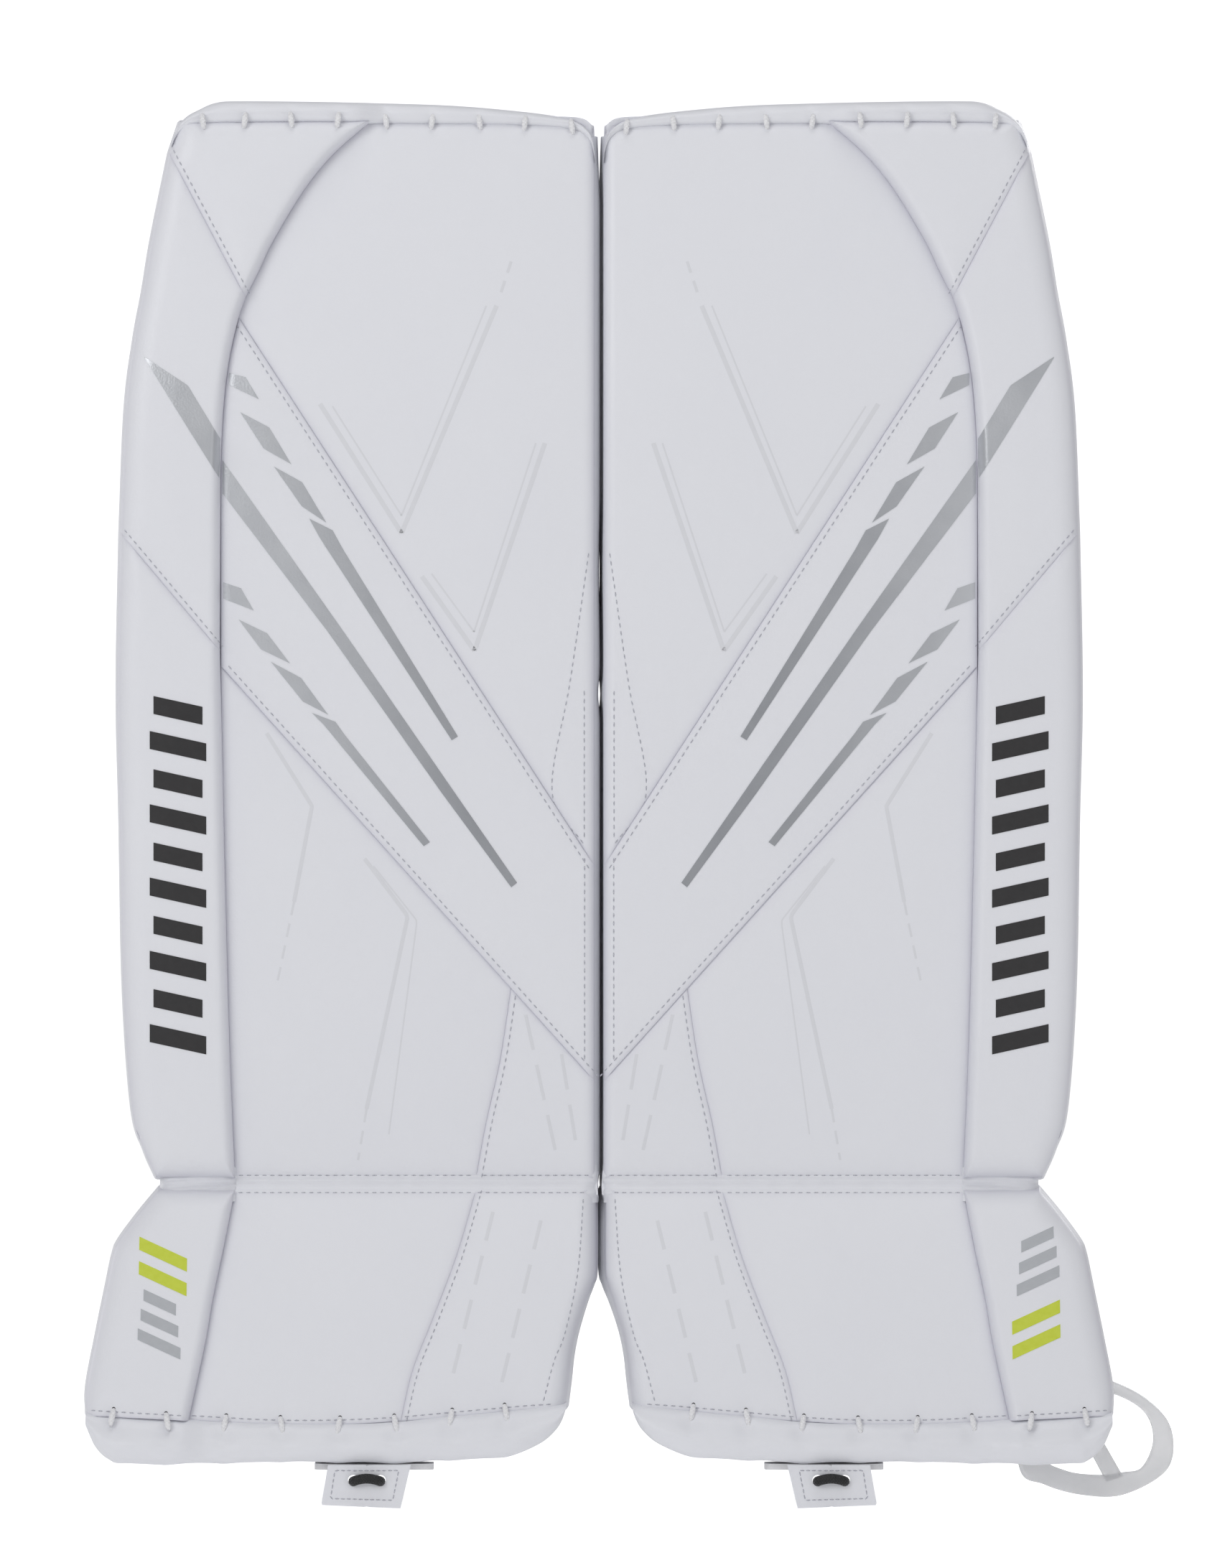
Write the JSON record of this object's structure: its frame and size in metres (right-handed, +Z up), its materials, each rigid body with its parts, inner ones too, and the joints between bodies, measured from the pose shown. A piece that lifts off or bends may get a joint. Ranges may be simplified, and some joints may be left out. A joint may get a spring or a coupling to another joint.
{
  "type": "goalie leg pads",
  "caption": "Pair of tall white ice hockey goalie leg pads with raised outer rolls, folding boots, silver stripes, leg channels with wraps and straps, and a clear boot strap.",
  "frame": {"origin": "bottom centre of the pair's overall box: level with the bottom edges of the toe tabs", "axes": "+X across the pair, towards the viewer's right when its front is looked at; -Y out of the pads' fronts; +Z up the pads as worn"},
  "size_m": [0.6324, 0.2667, 0.8195],
  "materials": {
    "white_skin": "semi-gloss synthetic leather",
    "slide_skin": "smooth sliding synthetic leather",
    "silver_foil": "metallic film inlay",
    "grey_print": "printed line",
    "black_print": "satin print",
    "lime_print": "satin print",
    "lace": "waxed braided lace",
    "foam": "closed-cell foam",
    "liner_black": "brushed knit",
    "webbing": "woven strap",
    "hook_tape": "moulded hook tape",
    "toe_plate": "matte",
    "elastic_cord": "braided sheath",
    "steel": "satin",
    "clear_tpu": "clear flexible moulding"
  },
  "bodies": {
    "left_pad": {"left_shin_core": "foam", "left_back_cover": "liner_black", "left_upper_face_panel": "white_skin", "left_band_panel": "white_skin", "left_lower_face_panel": "white_skin", "left_medial_edge_panel": "slide_skin", "left_outer_roll": "white_skin", "left_break_strip": "white_skin", "left_top_roll": "white_skin", "left_top_lacing": "lace", "left_leg_liner": "liner_black", "left_calf_block": "white_skin", "left_knee_block": "slide_skin", "left_hook_patches": "hook_tape"},
    "left_boot": {"left_boot_core": "foam", "left_boot_face_panel": "white_skin", "left_boot_roll": "white_skin", "left_toe_roll": "white_skin", "left_toe_lacing": "lace", "left_boot_wings": "liner_black", "left_toe_bridge": "toe_plate", "left_strap_screw": "steel"},
    "left_toe_tab": {"left_toe_tab": "white_skin", "left_toe_tie": "elastic_cord"},
    "left_calf_wrap": {"left_calf_wrap": "white_skin"},
    "left_calf_strap": {"left_calf_strap": "webbing"},
    "left_knee_wrap": {"left_knee_wrap": "white_skin"},
    "left_knee_strap": {"left_knee_strap": "webbing"},
    "left_strap_root": {"left_strap_root": "clear_tpu"},
    "left_boot_strap": {"left_boot_strap": "clear_tpu"},
    "right_pad": {"right_shin_core": "foam", "right_back_cover": "liner_black", "right_upper_face_panel": "white_skin", "right_band_panel": "white_skin", "right_lower_face_panel": "white_skin", "right_medial_edge_panel": "slide_skin", "right_outer_roll": "white_skin", "right_break_strip": "white_skin", "right_top_roll": "white_skin", "right_top_lacing": "lace", "right_leg_liner": "liner_black", "right_calf_block": "white_skin", "right_knee_block": "slide_skin", "right_hook_patches": "hook_tape"},
    "right_boot": {"right_boot_core": "foam", "right_boot_face_panel": "white_skin", "right_boot_roll": "white_skin", "right_toe_roll": "white_skin", "right_toe_lacing": "lace", "right_boot_wings": "liner_black", "right_toe_bridge": "toe_plate", "right_strap_screw": "steel"},
    "right_toe_tab": {"right_toe_tab": "white_skin", "right_toe_tie": "elastic_cord"},
    "right_calf_wrap": {"right_calf_wrap": "white_skin"},
    "right_calf_strap": {"right_calf_strap": "webbing"},
    "right_knee_wrap": {"right_knee_wrap": "white_skin"},
    "right_knee_strap": {"right_knee_strap": "webbing"},
    "right_strap_root": {"right_strap_root": "clear_tpu"},
    "right_boot_strap": {"right_boot_strap": "clear_tpu"}
  },
  "joints": [
    {"name": "left_boot_flex", "type": "hinge", "parent": "left_pad", "child": "left_boot", "pos_m": [-0.1526, -0.0383, 0.186], "axis": [1, 0, 0], "range_deg": [-20, 25], "stiffness_Nm_per_rad": 20},
    {"name": "left_toe_tab_flex", "type": "hinge", "parent": "left_boot", "child": "left_toe_tab", "pos_m": [-0.1526, -0.1253, 0.024], "axis": [1, 0, 0], "range_deg": [-60, 20], "stiffness_Nm_per_rad": 0.02},
    {"name": "left_calf_wrap_open", "type": "hinge", "parent": "left_pad", "child": "left_calf_wrap", "pos_m": [-0.2313, 0.0102, 0.336], "axis": [0, 0, 1], "range_deg": [0, 75]},
    {"name": "left_calf_strap_peel", "type": "hinge", "parent": "left_calf_wrap", "child": "left_calf_strap", "pos_m": [-0.1846, 0.1162, 0.336], "axis": [0, 0, 1], "range_deg": [0, 100]},
    {"name": "left_knee_wrap_open", "type": "hinge", "parent": "left_pad", "child": "left_knee_wrap", "pos_m": [-0.2313, 0.0102, 0.537], "axis": [0, 0, 1], "range_deg": [0, 75]},
    {"name": "left_knee_strap_peel", "type": "hinge", "parent": "left_knee_wrap", "child": "left_knee_strap", "pos_m": [-0.1846, 0.1312, 0.537], "axis": [0, 0, 1], "range_deg": [0, 100]},
    {"name": "left_strap_turn", "type": "hinge", "parent": "left_boot", "child": "left_strap_root", "pos_m": [-0.2386, -0.06186, 0.06], "axis": [0, 0.866, -0.5], "range_deg": [-95, 0]},
    {"name": "left_strap_fold", "type": "hinge", "parent": "left_strap_root", "child": "left_boot_strap", "pos_m": [-0.23668, -0.0509, 0.07898], "axis": [-0.9962, 0.0436, 0.0755], "range_deg": [0, 90], "stiffness_Nm_per_rad": 0.4},
    {"name": "right_boot_flex", "type": "hinge", "parent": "right_pad", "child": "right_boot", "pos_m": [0.1154, -0.0383, 0.186], "axis": [1, 0, 0], "range_deg": [-20, 25], "stiffness_Nm_per_rad": 20},
    {"name": "right_toe_tab_flex", "type": "hinge", "parent": "right_boot", "child": "right_toe_tab", "pos_m": [0.1154, -0.1253, 0.024], "axis": [1, 0, 0], "range_deg": [-60, 20], "stiffness_Nm_per_rad": 0.02},
    {"name": "right_calf_wrap_open", "type": "hinge", "parent": "right_pad", "child": "right_calf_wrap", "pos_m": [0.1941, 0.0102, 0.336], "axis": [0, 0, -1], "range_deg": [0, 75]},
    {"name": "right_calf_strap_peel", "type": "hinge", "parent": "right_calf_wrap", "child": "right_calf_strap", "pos_m": [0.1474, 0.1162, 0.336], "axis": [0, 0, -1], "range_deg": [0, 100]},
    {"name": "right_knee_wrap_open", "type": "hinge", "parent": "right_pad", "child": "right_knee_wrap", "pos_m": [0.1941, 0.0102, 0.537], "axis": [0, 0, -1], "range_deg": [0, 75]},
    {"name": "right_knee_strap_peel", "type": "hinge", "parent": "right_knee_wrap", "child": "right_knee_strap", "pos_m": [0.1474, 0.1312, 0.537], "axis": [0, 0, -1], "range_deg": [0, 100]},
    {"name": "right_strap_turn", "type": "hinge", "parent": "right_boot", "child": "right_strap_root", "pos_m": [0.2014, -0.06186, 0.06], "axis": [0, -0.866, 0.5], "range_deg": [0, 95]},
    {"name": "right_strap_fold", "type": "hinge", "parent": "right_strap_root", "child": "right_boot_strap", "pos_m": [0.2234, -0.06186, 0.06], "axis": [0, 0.5, 0.866], "range_deg": [0, 90], "stiffness_Nm_per_rad": 0.4},
    {"name": "right_pad_apart", "type": "slide", "parent": "left_pad", "child": "right_pad", "axis": [1, 0, 0], "range_m": [0, 0.3]}
  ]
}
